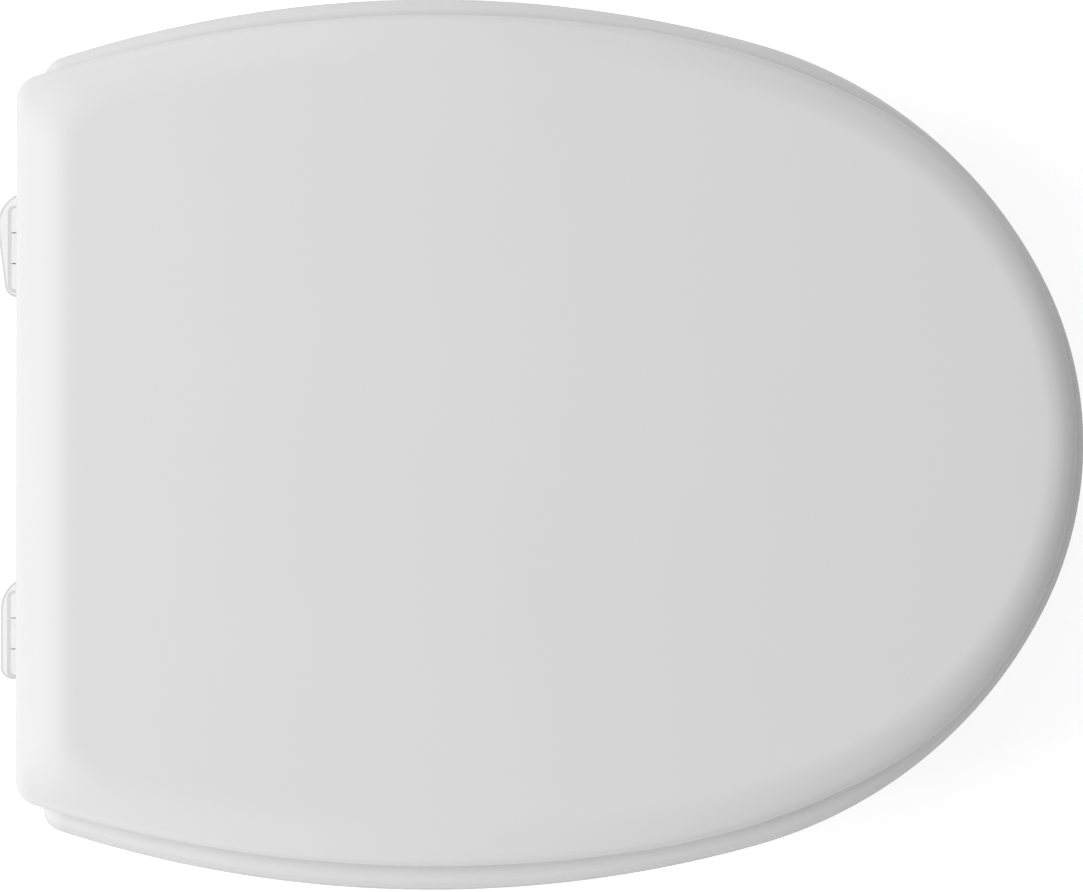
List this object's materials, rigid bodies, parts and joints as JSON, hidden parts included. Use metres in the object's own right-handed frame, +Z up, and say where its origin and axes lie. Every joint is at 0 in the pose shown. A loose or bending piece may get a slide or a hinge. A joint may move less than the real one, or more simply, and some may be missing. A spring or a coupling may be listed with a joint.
{
  "type": "toilet seat",
  "caption": "Closed toilet seat: a crowned lid over an egg-shaped ring on plated barrel hinges, fixed through the pan by studs and wing nuts.",
  "frame": {"origin": "midway between the axes of the fixing studs, on the pan's rim, where the gaskets bear", "axes": "+Z up out of the pan, -Y to the front of the seat, +X to the right of someone facing its rear from the front"},
  "size_m": [0.358, 0.4359, 0.1061],
  "materials": {
    "coat": "white gloss resin coat",
    "chrome": "bright plated",
    "plated_steel": "zinc plated",
    "screw_steel": "zinc plated",
    "gasket_rubber": "matt black",
    "buffer_plastic": "soft white",
    "nut_plastic": "natural white"
  },
  "bodies": {
    "base": {"left_post": "chrome", "left_rosette": "chrome", "left_gasket": "gasket_rubber", "left_pin": "plated_steel", "left_stud": "plated_steel", "left_centring_cone": "gasket_rubber", "left_flat_washer": "plated_steel", "left_wing_nut": "nut_plastic", "right_post": "chrome", "right_rosette": "chrome", "right_gasket": "gasket_rubber", "right_pin": "plated_steel", "right_stud": "plated_steel", "right_centring_cone": "gasket_rubber", "right_flat_washer": "plated_steel", "right_wing_nut": "nut_plastic"},
    "seat": {"seat_ring": "coat", "ring_buffer_screws": "screw_steel", "ring_buffer_front_right": "buffer_plastic", "ring_buffer_front_left": "buffer_plastic", "ring_buffer_rear_right": "buffer_plastic", "ring_buffer_rear_left": "buffer_plastic", "left_seat_leaf": "chrome", "left_seat_screws": "screw_steel", "right_seat_leaf": "chrome", "right_seat_screws": "screw_steel"},
    "lid": {"lid": "coat", "lid_buffer_front_right": "buffer_plastic", "lid_buffer_front_left": "buffer_plastic", "lid_buffer_rear_right": "buffer_plastic", "lid_buffer_rear_left": "buffer_plastic", "left_lid_leaf": "chrome", "left_lid_screws": "screw_steel", "right_lid_leaf": "chrome", "right_lid_screws": "screw_steel"}
  },
  "joints": [
    {"name": "seat_lift", "type": "hinge", "parent": "base", "child": "seat", "pos_m": [0, 0.006, 0.026], "axis": [1, 0, 0], "range_deg": [-95, 0]},
    {"name": "lid_open", "type": "hinge", "parent": "seat", "child": "lid", "pos_m": [0, 0.006, 0.026], "axis": [-1, 0, 0], "range_deg": [0, 95]}
  ]
}
